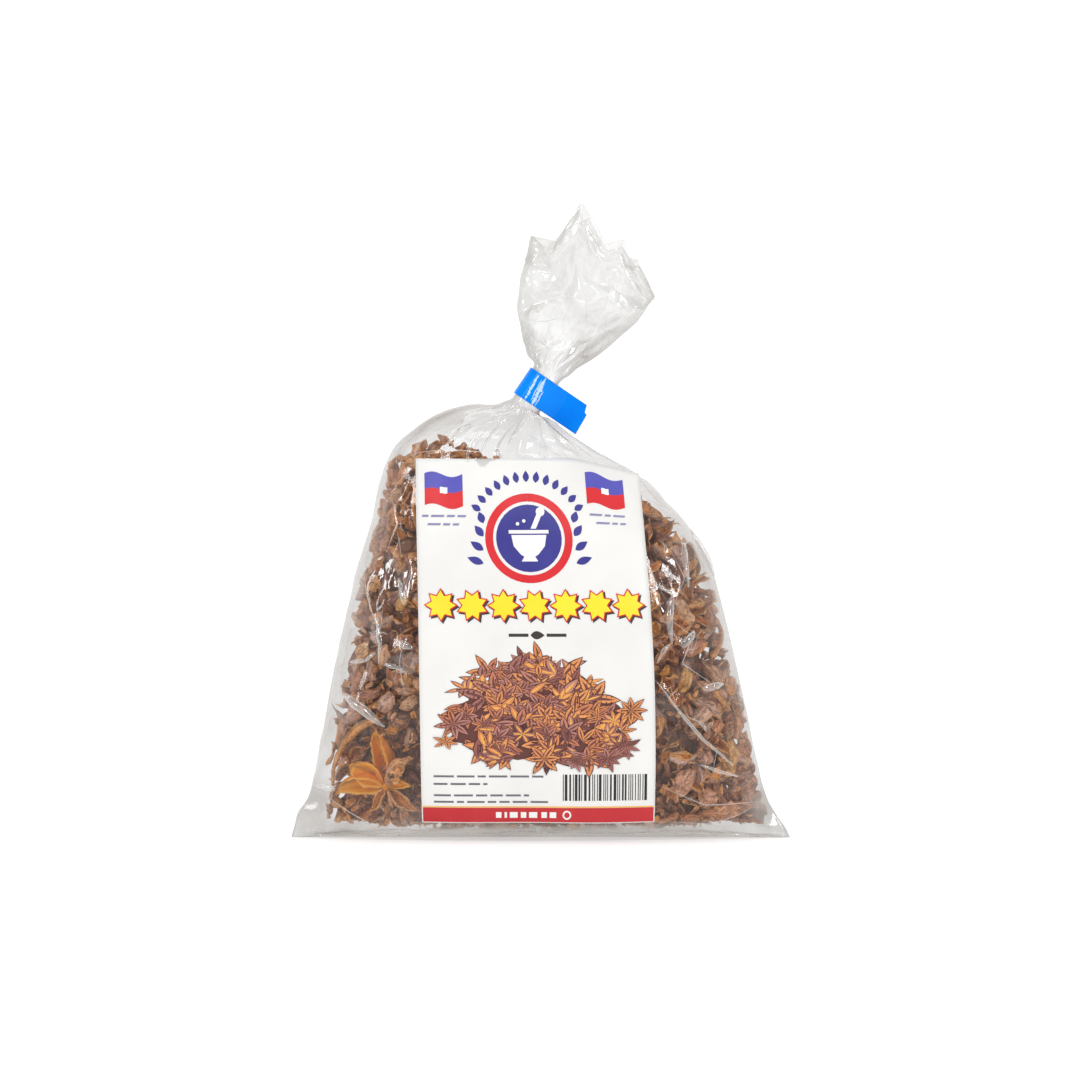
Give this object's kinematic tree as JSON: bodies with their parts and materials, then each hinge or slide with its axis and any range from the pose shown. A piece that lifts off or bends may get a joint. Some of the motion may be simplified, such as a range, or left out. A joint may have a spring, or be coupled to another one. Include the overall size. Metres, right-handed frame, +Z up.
{
  "type": "bag of star anise pods",
  "caption": "Clear film bag filled with dry star anise pods, standing on its base, with a printed paper label on the front and its gathered neck closed by a band of blue tape.",
  "frame": {"origin": "the middle of the bag's footprint, on the surface it stands on", "axes": "+Z up the bag, +X to the right of somebody who reads the label, and the label faces -Y"},
  "size_m": [0.146, 0.0551, 0.1865],
  "materials": {
    "star_anise": "dry brown husks with golden insides, seen through the film",
    "label_paper": "white coated paper, softly glossy",
    "blue_tape": "smooth and glossy",
    "clear_film": "thin, clear and crinkled, with bright creases",
    "label_print": "flat ink in red, blue, yellow, brown and dark grey"
  },
  "bodies": {
    "root": {"bag": "star_anise", "label": "label_paper", "tape": "blue_tape"}
  },
  "joints": []
}
